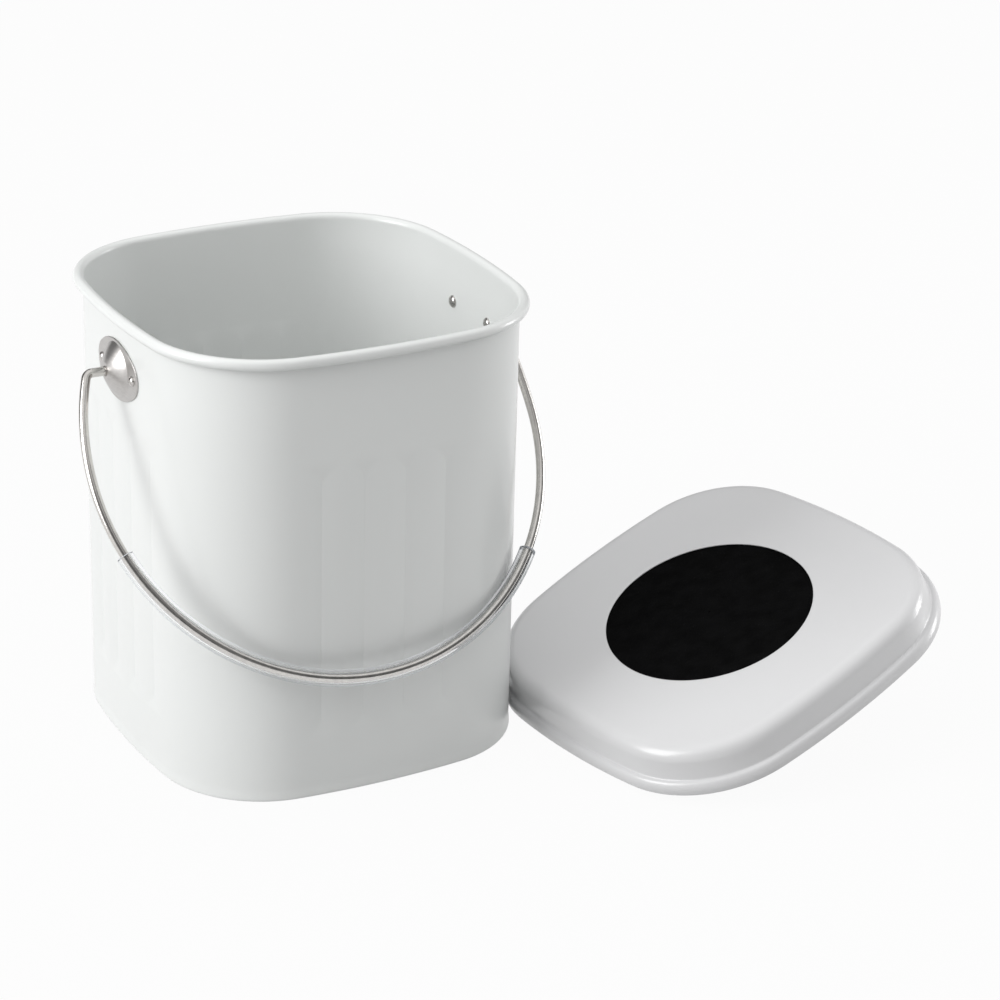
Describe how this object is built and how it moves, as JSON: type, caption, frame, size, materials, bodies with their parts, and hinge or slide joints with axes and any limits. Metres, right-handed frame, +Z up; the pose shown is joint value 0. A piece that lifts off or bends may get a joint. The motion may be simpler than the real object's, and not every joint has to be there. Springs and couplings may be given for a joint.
{
  "type": "compost caddy",
  "caption": "Bowed-square coated-steel caddy with a rolled rim, pressed grooves and a wire bail in riveted ears, beside its loose stepped lid with a charcoal filter.",
  "frame": {"origin": "middle of the bucket's underside, on the surface that it stands on", "axes": "+Z up out of the bucket's mouth; +X through the right ear, towards the loose lid; -Y through the face that the bail leans on"},
  "size_m": [0.4125, 0.2992, 0.2275],
  "materials": {
    "coated_steel": "satin powder coat, cool off-white",
    "bright_steel": "plated steel, fine satin",
    "clear_sleeve": "clear glossy PVC tube",
    "charcoal_felt": "matt charcoal felt"
  },
  "bodies": {
    "bucket": {"bucket_wall": "coated_steel", "bucket_base": "coated_steel", "ear_left": "bright_steel", "ear_right": "bright_steel", "ear_rivets": "bright_steel"},
    "bail": {"bail_wire": "bright_steel", "grip_sleeve": "clear_sleeve"},
    "lid": {"lid_shell": "coated_steel", "filter_collar": "coated_steel"},
    "filter": {"charcoal_filter": "charcoal_felt"}
  },
  "joints": [
    {"name": "bail_swing", "type": "hinge", "parent": "bucket", "child": "bail", "pos_m": [0, 0, 0.1974], "axis": [-1, 0, 0], "range_deg": [0, 282.8]},
    {"name": "lid_lift", "type": "slide", "parent": "bucket", "child": "lid", "axis": [0.6, 0, 0.8], "range_m": [0, 0.2]},
    {"name": "filter_pull", "type": "slide", "parent": "lid", "child": "filter", "axis": [0.3474, 0.0439, -0.9367], "range_m": [0, 0.02]}
  ]
}
